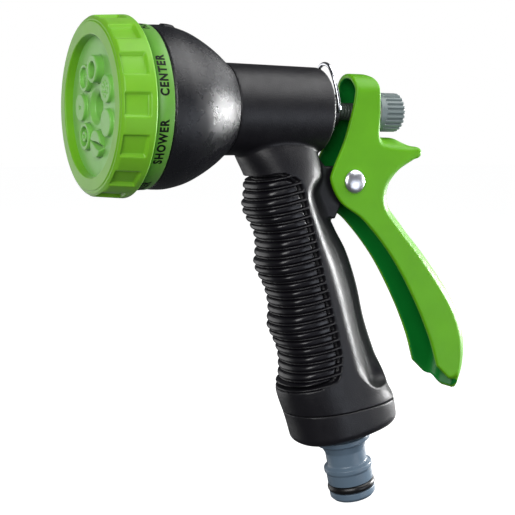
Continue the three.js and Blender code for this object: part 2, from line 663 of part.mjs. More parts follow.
function lever() {
  const outer = underArch(widened(slab(leverOutline(), 8, 3), 0), LEVER_TOP_HALF_WIDTH);
  const hollow = widened(slab(channelOutline(), 8, 2), LEVER_WALL);
  const channel = underArch(hollow, LEVER_TOP_HALF_WIDTH - LEVER_WALL);
  const stemSlot = new THREE.BoxGeometry(14, 7, 9.8).translate(108, 0, 1.3);
  const rivetHole = disc(-20, 20, RIVET_R + GAP, 18).rotateZ(Math.PI / 2).translate(PIVOT.x, 0, PIVOT.y);
  return cut(outer, channel, stemSlot, rivetHole);
}

function leverRivet() {
  const seat = leverHalfWidth(PIVOT.y) + GAP;
  const dome = [0, 1, 2, 3].map((i) => {
    const t = i / 3 * Math.PI / 2;
    return [seat + 0.3 + 1.5 * Math.sin(t), RIVET_HEAD_R * Math.cos(t)];
  });
  const far = [[seat, RIVET_R], [seat, RIVET_HEAD_R], ...dome.slice(0, -1), [seat + 1.8, 0]];
  const near = far.map(([y, r]) => [-y, r]).reverse();
  return turned([...near, ...far], 14).rotateZ(Math.PI / 2).translate(PIVOT.x, 0, PIVOT.y);
}

piece(barrelFrame, 'lever', lever(), LEVER_GREEN);
piece(barrelFrame, 'lever_rivet', leverRivet(), CHROME);

// ---------------------------------------------------------------- flow knob and lock wire

// Grey knob: a recess for the washer and a bore for the insert.
function flowKnob() {
  return turned([
    [118.5, 0], [118.5, 4.9], [111.3, 4.9], [111.3, 6.5], [KNOB_X, 6.5], [KNOB_X, KNOB_R - 0.3],
    [KNOB_X + 0.3, KNOB_R], [118.2, KNOB_R], [119.8, 6.75], [KNOB_END, 6.2], [KNOB_END, 0],
  ], 20);
}

// Wire bail hinged in the sides of the gland nut.
function lockWire() {
  const half = [[WIRE_PIVOT_X, 5.4, 0], [WIRE_PIVOT_X, 7, 0], [91.1, 7.75, 1.2], [90.6, 7, 6], [90, 5.6, 11],
    [89.6, 3.6, 15.2]];
  const points = [...half, [89.4, 0, 16.8], ...[...half].reverse().map(([x, y, z]) => [x, -y, z])];
  const curve = new THREE.CatmullRomCurve3(points.map((p) => new THREE.Vector3(...p)), false, 'centripetal');
  return alongCurve(curve, WIRE_R, 36, 6);
}

piece(barrelFrame, 'thrust_washer', tube(109.9, 110.9, 3.5, 6.2, 18), ACETAL);
piece(barrelFrame, 'flow_knob', flowKnob(), KNOB_GREY);
piece(barrelFrame, 'knob_insert', tube(111.6, 118, 3.25, 4.6, 14), BRASS);
piece(barrelFrame, 'lock_wire', lockWire(), CHROME);

export default nozzle;
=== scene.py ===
import json
import math

import bpy
import numpy as np
from mathutils import Matrix, Vector


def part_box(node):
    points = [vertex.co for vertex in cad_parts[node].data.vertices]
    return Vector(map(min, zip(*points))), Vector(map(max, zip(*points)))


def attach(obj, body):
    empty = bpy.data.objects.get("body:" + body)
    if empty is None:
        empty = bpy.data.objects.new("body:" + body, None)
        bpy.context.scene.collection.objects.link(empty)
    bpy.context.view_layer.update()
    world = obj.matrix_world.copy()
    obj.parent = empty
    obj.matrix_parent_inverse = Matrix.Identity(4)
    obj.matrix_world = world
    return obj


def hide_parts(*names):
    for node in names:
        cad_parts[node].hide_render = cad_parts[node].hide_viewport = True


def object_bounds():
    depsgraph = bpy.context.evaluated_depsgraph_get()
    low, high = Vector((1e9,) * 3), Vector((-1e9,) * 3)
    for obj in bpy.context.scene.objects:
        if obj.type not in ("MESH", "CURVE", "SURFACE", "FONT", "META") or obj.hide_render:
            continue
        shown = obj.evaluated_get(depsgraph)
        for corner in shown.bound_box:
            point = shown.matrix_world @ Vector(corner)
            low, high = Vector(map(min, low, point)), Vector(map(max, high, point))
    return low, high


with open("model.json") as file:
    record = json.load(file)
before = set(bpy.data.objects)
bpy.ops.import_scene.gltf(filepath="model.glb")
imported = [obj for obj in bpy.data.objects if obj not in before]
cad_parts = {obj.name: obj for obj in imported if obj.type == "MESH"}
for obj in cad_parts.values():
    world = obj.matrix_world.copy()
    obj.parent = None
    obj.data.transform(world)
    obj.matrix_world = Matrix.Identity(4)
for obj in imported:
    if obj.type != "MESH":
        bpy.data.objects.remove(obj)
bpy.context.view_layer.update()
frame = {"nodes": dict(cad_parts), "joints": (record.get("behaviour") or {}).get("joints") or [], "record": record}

# ---------------------------------------------------------------- the two frames of the nozzle

MM = 0.001
JOINTS = {joint["name"]: joint for joint in frame["joints"]}
MOUNTS = {mount["name"]: mount for mount in frame["record"]["mounts"]}
BARREL = np.array(JOINTS["dial_turn"]["pos_m"]) / MM      # centre of the dial's front rim, mm
DOWN = np.array(MOUNTS["hose_inlet"]["axis"])             # along the handle, towards the hose
LEAN_SIN, LEAN_COS = DOWN[0], -DOWN[2]
PIVOT = np.array(JOINTS["lever_squeeze"]["pos_m"]) / MM - BARREL


def from_barrel(points):
    """Millimetres from the centre of the dial's front rim to metres in the row frame."""
    return (points + BARREL) * MM


def from_handle(points):
    """[depth, across, height up the handle] in millimetres to metres in the row frame."""
    v, y, s = points[:, 0], points[:, 1], points[:, 2]
    return np.stack([v * LEAN_COS - s * LEAN_SIN, y, v * LEAN_SIN + s * LEAN_COS], 1) * MM


def node_span(node, axis=0):
    """A CAD node's lowest and highest place along one axis of the barrel, in millimetres."""
    low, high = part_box(node)
    return low[axis] / MM - BARREL[axis], high[axis] / MM - BARREL[axis]


# ---------------------------------------------------------------- camera, lights and floor

FOCAL_MM = 82.4
CAMERA_TARGET = from_barrel(np.array([[62.57, 0.0, -51.84]]))[0]
CAMERA_DISTANCE = 0.41703
CAMERA_AZIMUTH = math.radians(28.29)
CAMERA_ELEVATION = math.radians(5.52)
CAMERA_ROLL = math.radians(0.27)


def add_camera():
    azimuth, elevation = CAMERA_AZIMUTH, CAMERA_ELEVATION
    back = Vector((-math.sin(azimuth) * math.cos(elevation), -math.cos(azimuth) * math.cos(elevation),
                   math.sin(elevation)))
    right = Vector((math.cos(azimuth), -math.sin(azimuth), 0))
    up = back.cross(right)
    right, up = (right * math.cos(CAMERA_ROLL) + up * math.sin(CAMERA_ROLL),
                 up * math.cos(CAMERA_ROLL) - right * math.sin(CAMERA_ROLL))
    data = bpy.data.cameras.new("camera")
    data.sensor_width = 36
    data.lens = FOCAL_MM
    data.clip_start = 0.01
    camera = bpy.data.objects.new("camera", data)
    camera.matrix_world = Matrix.Translation(Vector(CAMERA_TARGET) + back * CAMERA_DISTANCE) @ Matrix(
        (right, up, back)).transposed().to_4x4()
    bpy.context.scene.collection.objects.link(camera)
    bpy.context.scene.camera = camera


add_camera()
CENTRE = Vector(CAMERA_TARGET)


def add_softbox(name, towards, distance, size, power, colour=(1, 1, 1)):
    """A rectangular light that faces the nozzle from the given direction."""
    data = bpy.data.lights.new(name, "AREA")
    data.shape = "RECTANGLE"
    data.size, data.size_y = size
    data.energy = power
    data.color = colour
    light = bpy.data.objects.new(name, data)
    direction = Vector(towards).normalized()
    light.location = CENTRE + direction * distance
    light.rotation_euler = direction.to_track_quat("Z", "Y").to_euler()
    bpy.context.scene.collection.objects.link(light)


def add_world():
    world = bpy.data.worlds.new("studio")
    world.use_nodes = True
    nodes, links = world.node_tree.nodes, world.node_tree.links
    nodes.clear()
    output = nodes.new("ShaderNodeOutputWorld")
    seen = nodes.new("ShaderNodeBackground")
    seen.inputs["Strength"].default_value = 1.0
    cast = nodes.new("ShaderNodeBackground")
    cast.inputs["Color"].default_value = (0.9, 0.95, 1, 1)
    cast.inputs["Strength"].default_value = 0.07
    path = nodes.new("ShaderNodeLightPath")
    mix = nodes.new("ShaderNodeMixShader")
    links.new(path.outputs["Is Camera Ray"], mix.inputs["Fac"])
    links.new(cast.outputs["Background"], mix.inputs[1])
    links.new(seen.outputs["Background"], mix.inputs[2])
    links.new(mix.outputs["Shader"], output.inputs["Surface"])
    seen.inputs["Color"].default_value = (1, 1, 1, 1)
    bpy.context.scene.world = world


add_world()
add_softbox("top_softbox", (0.47, -0.33, 0.82), 0.7, (0.6, 0.6), 4.4)
add_softbox("low_fill", (0.47, -0.86, -0.2), 0.8, (0.5, 0.34), 1.3, (0.85, 0.9, 1))
add_softbox("side_light", (0.97, 0.0, 0.16), 0.75, (0.4, 0.55), 1.3, (0.95, 0.98, 1))
add_softbox("bell_light", (0.97, 0.02, 0.05), 0.7, (0.17, 0.16), 6.2)
add_softbox("rim_strip", (0.86, 0.45, 0.05), 0.75, (0.22, 0.95), 1.6)
add_softbox("back_left_panel", (-0.47, 0.876, -0.1), 0.75, (0.6, 0.7), 1.8)
add_softbox("front_left", (-0.68, -0.72, 0.28), 0.85, (0.55, 0.55), 6.4)
bpy.context.scene.view_settings.view_transform = "Standard"


# ---------------------------------------------------------------- materials

def srgb(red, green, blue):
    """A colour given as the eye reads it, 0 to 255, in the linear values that shaders use."""
    def linear(value):
        value /= 255
        return value / 12.92 if value <= 0.04045 else ((value + 0.055) / 1.055) ** 2.4
    return linear(red), linear(green), linear(blue), 1.0


def surface(name, colour, roughness, grain=(1600, 0.25), metallic=0.0, drift=0.06, spread=0.08, coat=0.0,
            subsurface=0.0, sheen=0.0, shine=0.5):
    """Moulded plastic, rubber or metal: a slow drift of colour and roughness, and a fine grain as relief.
    grain is (how fine, how deep). The grain's coordinates are metres in the row frame."""
    material = bpy.data.materials.new(name)
    material.use_nodes = True
    nodes, links = material.node_tree.nodes, material.node_tree.links
    shader = nodes["Principled BSDF"]
    shader.inputs["Metallic"].default_value = metallic
    shader.inputs["Coat Weight"].default_value = coat
    shader.inputs["Coat Roughness"].default_value = 0.08
    shader.inputs["Specular IOR Level"].default_value = shine
    shader.inputs["Sheen Weight"].default_value = sheen
    shader.inputs["Sheen Roughness"].default_value = 0.4
    shader.inputs["Subsurface Weight"].default_value = subsurface
    shader.inputs["Subsurface Radius"].default_value = (0.4, 1.0, 0.2)
    shader.inputs["Subsurface Scale"].default_value = 0.002
    place = nodes.new("ShaderNodeTexCoord")

    def noise(scale, detail):
        node = nodes.new("ShaderNodeTexNoise")
        node.inputs["Scale"].default_value = scale
        node.inputs["Detail"].default_value = detail
        links.new(place.outputs["Object"], node.inputs["Vector"])
        return node.outputs["Fac"]

    def spanned(value, low, high):
        node = nodes.new("ShaderNodeMapRange")
        node.inputs["From Min"].default_value = 0.3
        node.inputs["From Max"].default_value = 0.7
        node.inputs["To Min"].default_value = low
        node.inputs["To Max"].default_value = high
        links.new(value, node.inputs["Value"])
        return node.outputs["Result"]

    tint = nodes.new("ShaderNodeMix")
    tint.data_type = "RGBA"
    tint.inputs["A"].default_value = [c * (1 - drift) for c in colour[:3]] + [1]
    tint.inputs["B"].default_value = [min(1, c * (1 + drift)) for c in colour[:3]] + [1]
    links.new(spanned(noise(90, 4), 0, 1), tint.inputs["Factor"])
    links.new(tint.outputs["Result"], shader.inputs["Base Color"])
    rough = spanned(noise(260, 5), roughness * (1 - spread), roughness * (1 + spread))
    links.new(rough, shader.inputs["Roughness"])
    bump = nodes.new("ShaderNodeBump")
    bump.inputs["Strength"].default_value = grain[1]
    bump.inputs["Distance"].default_value = 0.0001
    links.new(noise(grain[0], 2), bump.inputs["Height"])
    links.new(bump.outputs["Normal"], shader.inputs["Normal"])
    return material


LOOKS = {
    "body_black": surface("body_black", srgb(21, 20, 24), 0.4, (2600, 0.7), spread=0.15, shine=0.36),
    "bell_black": surface("bell_black", srgb(24, 24, 28), 0.28, (4200, 0.9), spread=0.15),
    "gland_black": surface("gland_black", srgb(15, 15, 17), 0.4, (2600, 0.6), spread=0.15),
    "grip_rubber": surface("grip_rubber", srgb(12, 10, 16), 0.32, (2400, 0.25)),
    "seal_rubber": surface("seal_rubber", srgb(14, 14, 15), 0.35, (1500, 0.3)),
    "dial_green": surface("dial_green", srgb(114, 178, 36), 0.4, (1200, 0.12), subsurface=0.15, sheen=0.16,
                          shine=0.35),
    "label_green": surface("label_green", srgb(100, 158, 62), 0.4, (1200, 0.15), subsurface=0.1, sheen=0.16,
                           shine=0.4),
    "face_green": surface("face_green", srgb(120, 186, 82), 0.4, (1200, 0.2), subsurface=0.15, sheen=0.2),
    "lever_green": surface("lever_green", srgb(94, 164, 10), 0.42, (700, 0.1), subsurface=0.1, shine=0.3),
    # painted shade: a deeper green standing in for the shadow inside the lever's channel
    "lever_painted_shade": surface("lever_painted_shade", srgb(12, 118, 40), 0.4, (700, 0.1), shine=0.3),
    "adapter_grey": surface("adapter_grey", srgb(96, 114, 130), 0.34, (1500, 0.25)),
    "knob_grey": surface("knob_grey", srgb(112, 124, 124), 0.4, (1500, 0.3)),
    "acetal": surface("acetal", srgb(222, 222, 214), 0.4, (1300, 0.2)),
    "chrome": surface("chrome", srgb(222, 224, 230), 0.09, (500, 0.12), metallic=1.0, drift=0.02),
    "steel": surface("steel", srgb(160, 162, 166), 0.32, (1800, 0.3), metallic=1.0),
    "brass": surface("brass", srgb(196, 162, 90), 0.3, (1800, 0.3), metallic=1.0),
    "print_black": surface("print_black", srgb(9, 14, 8), 0.6, (1800, 0.3), shine=0.2),
    "rivet_steel": surface("rivet_steel", srgb(228, 230, 236), 0.3, (900, 0.25), metallic=1.0, drift=0.03),
    "stem_grey": surface("stem_grey", srgb(66, 76, 68), 0.34, (1800, 0.3)),
}

for part in frame["record"]["subparts"]:
    cad = frame["nodes"][part["node"]]
    cad.data.materials.clear()
    cad.data.materials.append(LOOKS[part["material_slot"]])


# ---------------------------------------------------------------- mesh making

def add_piece(name, points, faces, body, look, replaces=(), smooth=True):
    """A mesh in the row frame, riding on a body and standing for the CAD nodes it replaces."""
    mesh = bpy.data.meshes.new(name)
    mesh.from_pydata(points.tolist(), [], faces if isinstance(faces, list) else faces.tolist())
    mesh.validate()
    mesh.update()
    if smooth:
        mesh.shade_smooth()
    mesh.materials.append(LOOKS[look])
    piece = bpy.data.objects.new(name, mesh)
    bpy.context.scene.collection.objects.link(piece)
    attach(piece, body)
    if replaces:
        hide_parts(*replaces)
    return piece


def arcs(corners, steps=5):
    """An outline through (x, r) corners; a third value rounds that corner to a radius with an arc."""
    path = []
    for i, corner in enumerate(corners):
        here = np.array(corner[:2], float)
        if len(corner) < 3:
            path.append(here)
            continue
        before = np.array(corners[i - 1][:2], float) - here
        after = np.array(corners[(i + 1) % len(corners)][:2], float) - here
        before /= np.linalg.norm(before)
        after /= np.linalg.norm(after)
        half = math.acos(np.clip(before @ after, -1, 1)) / 2
        reach = corner[2] / math.tan(half)
        centre = here + (before + after) / np.linalg.norm(before + after) * corner[2] / math.sin(half)
        start, end = here + before * reach - centre, here + after * reach - centre
        turn = math.pi - 2 * half
        for k in range(steps + 1):
            share = k / steps
            path.append(centre + (start * math.sin((1 - share) * turn) + end * math.sin(share * turn))
                        / math.sin(turn))
    return np.array(path)


def dense(path, longest):
    """The same outline with its long stretches divided."""
    out = [path[0]]
    for a, b in zip(path[:-1], path[1:]):
        count = max(1, math.ceil(np.linalg.norm(b - a) / longest))
        out += [a + (b - a) * k / count for k in range(1, count + 1)]
    return np.array(out)


def turned(path, segments, shape=None, closed=True):
    """Points and quads of an outline turned about the barrel's axis. shape(x, r, angle) changes the radius.
    Angles run from +Z towards +Y. An open outline is closed at its ends by a fan on the axis."""
    angle = np.arange(segments) * 2 * math.pi / segments
    x = np.repeat(path[:, :1], segments, 1)
    r = np.repeat(path[:, 1:], segments, 1)
    turn = np.repeat(angle[None, :], len(path), 0)
    if shape:
        r = shape(x, r, turn)
    points = np.stack([x, r * np.sin(turn), r * np.cos(turn)], 2).reshape(-1, 3)
    rows = len(path)
    i, j = np.meshgrid(np.arange(rows if closed else rows - 1), np.arange(segments), indexing="ij")
    i2, j2 = (i + 1) % rows, (j + 1) % segments
    quads = np.stack([i * segments + j, i2 * segments + j, i2 * segments + j2, i * segments + j2], 2)
    faces = quads.reshape(-1, 4).tolist()
    if not closed:
        for row, flip in ((0, False), (rows - 1, True)):
            ring = [row * segments + k for k in range(segments)]
            points = np.vstack([points, [[path[row, 0], 0, 0]]])
            hub = len(points) - 1
            for k in range(segments):
                a, b = ring[k], ring[(k + 1) % segments]
                faces.append([hub, b, a] if flip else [hub, a, b])
    return points, faces


def surface_nets(field, low, step):
    """Points and quads of the zero surface of a field sampled on a grid, negative inside."""
    inside = field < 0
    cells = np.array(field.shape) - 1

    def corner(values, offset):
        return values[tuple(slice(o, o + n) for o, n in zip(offset, cells))]

    total = np.zeros(tuple(cells) + (3,), np.float32)
    count = np.zeros(tuple(cells), np.int8)
    for axis in range(3):
        for u in (0, 1):
            for w in (0, 1):
                start = np.insert([u, w], axis, 0)
                end = np.insert([u, w], axis, 1)
                a, b = corner(field, start), corner(field, end)
                cross = corner(inside, start) != corner(inside, end)
                share = np.where(cross, a / np.where(cross, a - b, 1), 0)
                for k in range(3):
                    total[..., k] += share if k == axis else cross * start[k]
                count += cross
    active = count > 0
    index = np.full(tuple(cells), -1)
    index[active] = np.arange(active.sum())
    points = low + step * (np.argwhere(active) + total[active] / count[active][:, None])
    quads = []
    for axis in range(3):
        u, w = (axis + 1) % 3, (axis + 2) % 3
        near = [slice(1, n) for n in cells]
        near[axis] = slice(0, cells[axis])
        far = list(near)
        far[axis] = slice(1, cells[axis] + 1)
        a, b = inside[tuple(near)], inside[tuple(far)]

        def cell(du, dw):
            place = [slice(0, cells[axis])] * 3
            place[u] = slice(1 - du, cells[u] - du)
            place[w] = slice(1 - dw, cells[w] - dw)
            return index[tuple(place)]

        ring = np.stack([cell(1, 1), cell(0, 1), cell(0, 0), cell(1, 0)], -1)
        quads += [ring[a & ~b], ring[b & ~a][:, ::-1]]
    return points, np.concatenate(quads)


def sampled(field, low, high, step):
    """Surface of field(x, y, z) within a box. The step is one number, or one for each direction."""
    low = np.array(low, float)
    step = np.array(step) * np.ones(3)
    counts = np.ceil((np.array(high) - low) / step).astype(int) + 1
    x, y, z = ((low[k] + step[k] * np.arange(counts[k])).astype(np.float32) for k in range(3))
    values = field(x[:, None, None], y[None, :, None], z[None, None, :])
    return surface_nets(np.broadcast_to(values, counts).astype(np.float32), low, step)


def both(a, b, radius=0.0):
    """The part inside both fields, its edge rounded to radius."""
    if np.isscalar(radius) and radius == 0:
        return np.maximum(a, b)
    return (np.minimum(-radius, np.maximum(a, b))
            + np.hypot(np.maximum(radius + a, 0), np.maximum(radius + b, 0)))


def either(a, b, radius=0.0):
    """The part inside either field, its inner corner filled to radius."""
    if np.isscalar(radius) and radius == 0:
        return np.minimum(a, b)
    return (np.maximum(radius, np.minimum(a, b))
            - np.hypot(np.maximum(radius - a, 0), np.maximum(radius - b, 0)))


def outline_field(outline, x, z):
    """Signed distance to a closed outline in a plane, negative inside."""
    x, z = np.broadcast_arrays(x, z)
    best = np.full(x.shape, 1e9)
    inside = np.zeros(x.shape, bool)
    for (ax, az), (bx, bz) in zip(outline, np.roll(outline, -1, 0)):
        ex, ez = bx - ax, bz - az
        share = np.clip(((x - ax) * ex + (z - az) * ez) / (ex * ex + ez * ez), 0, 1)
        best = np.minimum(best, (x - ax - share * ex) ** 2 + (z - az - share * ez) ** 2)
        spans = (az > z) != (bz > z)
        inside ^= spans & (x < ax + (z - az) / (ez if ez else 1) * ex)
    return np.where(inside, -1, 1) * np.sqrt(best)


def spline(points, steps=6):
    """A smooth curve through the points, which it keeps."""
    points = np.array(points, float)
    ends = np.vstack([2 * points[0] - points[1], points, 2 * points[-1] - points[-2]])
    t = np.arange(steps)[:, None] / steps
    parts = []
    for a, b, c, d in zip(ends[:-3], ends[1:-2], ends[2:-1], ends[3:]):
        parts.append(0.5 * (2 * b + (c - a) * t + (2 * a - 5 * b + 4 * c - d) * t ** 2
                            + (3 * b - a - 3 * c + d) * t ** 3))
    return np.vstack(parts + [points[-1:]])


def smooth(value, low, high):
    share = np.clip((value - low) / (high - low), 0, 1)
    return share * share * (3 - 2 * share)


# ---------------------------------------------------------------- dial

PATTERNS = 7
RECESSES = 2 * PATTERNS
PITCH_ANGLE = 2 * math.pi / PATTERNS
JET_ANGLE = math.radians(-12.86)
BOSS_CIRCLE = 12.3
BOSS_R = 4.5
FACE_X = 2.8
PATTERN_ANGLES = [JET_ANGLE + i * PITCH_ANGLE for i in range(PATTERNS)]
GRIP_END = node_span("dial_grip_ring")[1]
LABEL_START, LABEL_END = node_span("label_ring")
LABEL_R = node_span("label_ring", 2)[1]


def make_grip_ring():
    """The dial's rim, with a pocket for a fingertip at every half pattern."""
    path = arcs([(0, 23.1, 0.5), (0, 27.2, 0.2), (0.35, 27.6, 0.25), (0.35, 28.1, 0.6), (1.3, 29.3, 0.9),
                 (GRIP_END - 0.5, 30.0, 0.5), (GRIP_END, 29.4, 0.4), (GRIP_END, 24.6),
                 (3.0, 24.6), (3.0, 23.0, 0.2)])
    path = dense(path, 0.3)

    def pockets(x, r, angle):
        pocket_angle = 2 * math.pi / RECESSES
        across = np.abs(((angle - math.pi / 2) / pocket_angle + 0.5) % 1 - 0.5) * pocket_angle * 29.5
        share = smooth(3.75 - across, 0, 0.4) * smooth(x, 1.0, 1.5) * smooth(9.5 - x, 0, 0.35)
        return r - np.where(r > 28.4, 1.25 * share, 0)

    points, faces = turned(path, RECESSES * 36, pockets)
    add_piece("grip_ring_moulded", from_barrel(points), faces, "dial", "dial_green", ["dial_grip_ring"])


def make_label_ring():
    path = arcs([(LABEL_START - 0.25, 25.6), (LABEL_START - 0.25, LABEL_R),
                 (LABEL_END, LABEL_R, 0.3), (LABEL_END, 25.6)])
    points, faces = turned(path, 240)
    add_piece("label_ring_moulded", from_barrel(points), faces, "dial", "label_green", ["label_ring"])


WORDS = ("FLAT", "MIST", "CONE", "JET", "SOAKER", "SHOWER", "CENTER")
WORD_SHIFTS = {"FLAT": -3.5, "CENTER": -5.1, "SHOWER": 0.0}
LETTER_HEIGHT = 2.9
LETTER_NARROWING = 0.82


def make_words():
    """The pattern's plain word printed on the ring beside each outlet, read upwards on the near side."""
    for word, pattern in zip(WORDS, PATTERN_ANGLES):
        curve = bpy.data.curves.new("word", "FONT")
        curve.body = word
        curve.size = LETTER_HEIGHT / 0.72
        curve.align_x = "CENTER"
        curve.align_y = "CENTER"
        curve.space_character = 1.2
        curve.offset = 0.17
        curve.extrude = 0.02
        curve.resolution_u = 4
        writing = bpy.data.objects.new("word", curve)
        bpy.context.scene.collection.objects.link(writing)
        bpy.context.view_layer.update()
        flat = bpy.data.meshes.new_from_object(writing.evaluated_get(bpy.context.evaluated_depsgraph_get()))
        bpy.data.objects.remove(writing)
        points = np.array([v.co for v in flat.vertices])
        faces = [list(p.vertices) for p in flat.polygons]
        centre = pattern + math.radians(WORD_SHIFTS.get(word, 0.0)) - math.pi * 1.5
        angle = centre + points[:, 0] * LETTER_NARROWING / LABEL_R
        middle = (LABEL_START + LABEL_END) / 2
        radius = LABEL_R + 0.03 + points[:, 2]
        bent = np.stack([middle - points[:, 1], -radius * np.cos(angle), radius * np.sin(angle)], 1)
        add_piece(f"word_{word.lower()}", from_barrel(bent), faces, "dial", "print_black",
                  smooth=False)


def boss_frame(y, z, angle, circle=BOSS_CIRCLE):
    """Distance from one outlet's axis, and its own two directions: outwards and round the dial."""
    out = y * math.sin(angle) + z * math.cos(angle) - circle
    side = y * math.cos(angle) - z * math.sin(angle)
    return np.hypot(out, side), out, side


HUB_R = 6.2
HUB_BORE = 4.4
SINK_R = 7.0
SINK_START = 2.0
SINK_END = 4.1
INSERTS = {"jet": 0, "shower": 1, "cone": 3, "fan": 4}
FACE_STEP = 0.2


def plate_field(x, y, z):
    """Face plate: flat outlets, a sunk bore for the screw, and seats for the four inserts."""
    r = np.hypot(y, z)
    plate = both(both(FACE_X - x, x - 5.2), r - 24.2)
    plate = either(plate, both(both(SINK_END - x, r - HUB_R), x - 11), 0.5)
    for i, angle in enumerate(PATTERN_ANGLES):
        near, out, side = boss_frame(y, z, angle)
        if i in INSERTS.values():
            plate = both(plate, -(near - BOSS_R - 0.12))
            continue
        boss = both(both(1.45 - x, near - BOSS_R, 0.35), x - 5)
        plate = either(plate, boss, 0.25)
        if i == 2:
            plate = both(plate, -(near - 0.55), 0.15)
        if i == 6:
            for ring, count in ((1.15, 5), (2.35, 9)):
                for k in range(count):
                    turn = 2 * math.pi * (k / count) + ring
                    hole = np.hypot(out - ring * math.cos(turn), side - ring * math.sin(turn)) - 0.32
                    plate = both(plate, -hole)
    slope = (SINK_R - HUB_BORE) / (SINK_END - SINK_START)
    sink = np.maximum(HUB_BORE, SINK_R - slope * (x - SINK_START))
    return both(plate, (sink - r) * 0.8, 0.25)


def insert_field(kind, angle):
    front = {"jet": 0.1, "shower": 1.15, "cone": 1.1, "fan": 1.0}[kind]

    def field(x, y, z):
        near, out, side = boss_frame(y, z, angle)
        body = both(both(front - x, near - BOSS_R, 0.4), x - 4.4)
        if kind == "jet":
            hollow = both(x - 3.9, np.hypot(out + 0.35, side) - 2.75)
            body = both(body, -hollow, 0.35)
            return both(body, -both(x - 6, np.hypot(out + 0.35, side) - 1.6), 0.2)
        if kind == "shower":
            body = both(body, -both(x - 2.3, near - 3.35, 0.3), 0.3)
            for k in range(5):
                turn = 2 * math.pi * k / 5
                body = both(body, -(np.hypot(out - 1.3 * math.cos(turn), side - 1.3 * math.sin(turn)) - 0.36))
            return body
        if kind == "cone":
            moat = both(both(x - 2.7, near - 3.3), 1.75 - near)
            body = both(body, -moat, 0.25)
            return both(body, -(near - 0.75), 0.2)
        tilt = math.radians(62)
        along = out * math.cos(tilt) + side * math.sin(tilt)
        across = -out * math.sin(tilt) + side * math.cos(tilt)
        valley = both(x - 2.7,
                      np.abs(across) - 0.2 - 0.62 * np.maximum(2.7 - x, 0) * smooth(along, -3.5, 2.5))
        body = both(body, -valley, 0.2)
        return both(body, -both(x - 6, both(np.abs(across) - 0.3, np.abs(along) - 2.6)), 0.1)

    return field


def make_face():
    low, high = (0.9, -24.8, -24.8), (11.6, 24.8, 24.8)
    points, faces = sampled(plate_field, low, high, 0.25)
    add_piece("face_plate_moulded", from_barrel(points), faces, "dial", "face_green", ["spray_plate"])
    for kind, i in INSERTS.items():
        angle = PATTERN_ANGLES[i]
        y, z = BOSS_CIRCLE * math.sin(angle), BOSS_CIRCLE * math.cos(angle)
        points, faces = sampled(insert_field(kind, angle), (-0.4, y - 5, z - 5), (4.9, y + 5, z + 5),
                                FACE_STEP)
        add_piece(f"{kind}_insert_moulded", from_barrel(points), faces, "dial", "face_green",
                  [f"{kind}_insert"])


make_grip_ring()
make_label_ring()
make_words()
make_face()

# ---------------------------------------------------------------- bell

BELL_START, BELL_END = node_span("bell_housing")
BARREL_REAR_X = 85.35
BARREL_FRONT_R = 15.9
BARREL_REAR_R = 15.41


def make_bell():
    """Dome behind the dial with its small raised pointer."""
    dome = spline([(BELL_START + 0.4, 27.1), (22.4, 27.3), (26.2, 27.15), (31.8, 25.75), (37.1, 23.25),
                   (42.4, 19.95), (BELL_END - 0.5, 16.25)], 8)
    path = np.vstack([arcs([(BELL_END, 15.96, 0.3), (BELL_END, 13.9), (40, 16.5), (30, 23),
                            (BELL_START, 25.4), (BELL_START, 26.9, 0.3)]), dome])
    path = dense(np.vstack([path, path[:1]])[:-1], 0.45)

    def pointer(x, r, angle):
        off = np.abs((angle - JET_ANGLE + math.pi) % (2 * math.pi) - math.pi) * 27
        share = smooth(1.9 - off, 0, 0.7) * smooth(x, 22.7, 23.3) * smooth(27.6 - x, 0, 0.8)
        return r + np.where(r > 24.9, 0.55 * share, 0)

    points, faces = turned(path, 360, pointer)
    add_piece("bell_moulded", from_barrel(points), faces, "body", "bell_black", ["bell_housing"])


make_bell()

# ---------------------------------------------------------------- handle, barrel and grip

SEAM = 36.45
SEAM_SLOPE = -0.14                   # the seam and the collar's lower rim slope down towards the rear
RIM_BOTTOM = 25.4
RIM_SLOPE = -0.045
SPINE = 5.0
SCOOP_TOP = 118.0
SCOOP_BOTTOM = 40.5
INSET = 0.35
FRONT_EDGE = spline([(24, -19.4), (36, -20.4), (47.8, -21.9), (52.6, -19), (60.2, -17.4), (66.2, -18.2),
                     (72, -19.5), (77.7, -17.7), (84.9, -17.5), (94.5, -19.9), (100, -18.2),
                     (106.2, -17.4), (115.5, -20.2), (121.3, -18.4), (126.5, -17.7), (134.7, -20.3),
                     (141, -21.5)])
REAR_EDGE = spline([(24, 22.6), (34, 22.9), (39.6, 21.3), (47.5, 20.4), (63.8, 17.9), (78.6, 17.3),
                    (91.5, 15.5), (101.1, 12.4), (113.9, 9.2), (125.6, 9.7), (141, 9.5)])
HALF_WIDTH = spline([(24, 15), (36, 15), (47, 14.7), (80, 14.2), (118, 13.6), (130, 12.6), (141, 10)])
RIDGE = spline([(36, 9), (48, 7.2), (54.5, 6.8), (61.6, 6.5), (70, 5.9), (80.7, 5), (92, 3.9), (104, 2.3),
                (114, 1.2), (122, 1.2), (141, 3)])
PAD_OUTLINE = np.vstack([
    [(-40, 48.3), (-12, 48.3)],
    spline([(-8, 48.7), (-4.6, 50.6), (-2.3, 56), (-1.8, 61), (-2.6, 85), (-4, 118), (-6, 124),
            (-10, 126.8)]),
    [(-12, 127), (-40, 127)]])
RIB_START = 48.9
RIB_PITCH = 3.05
RIB_HALF = 1.09
SLOT_HALF = 1.175
SLOT_DEPTH = 2.3
CORE_DEPTH = 3.2
PIT_LENGTH = 2.2


def at(curve, s):
    return np.interp(s, curve[:, 0], curve[:, 1]).astype(np.float32)


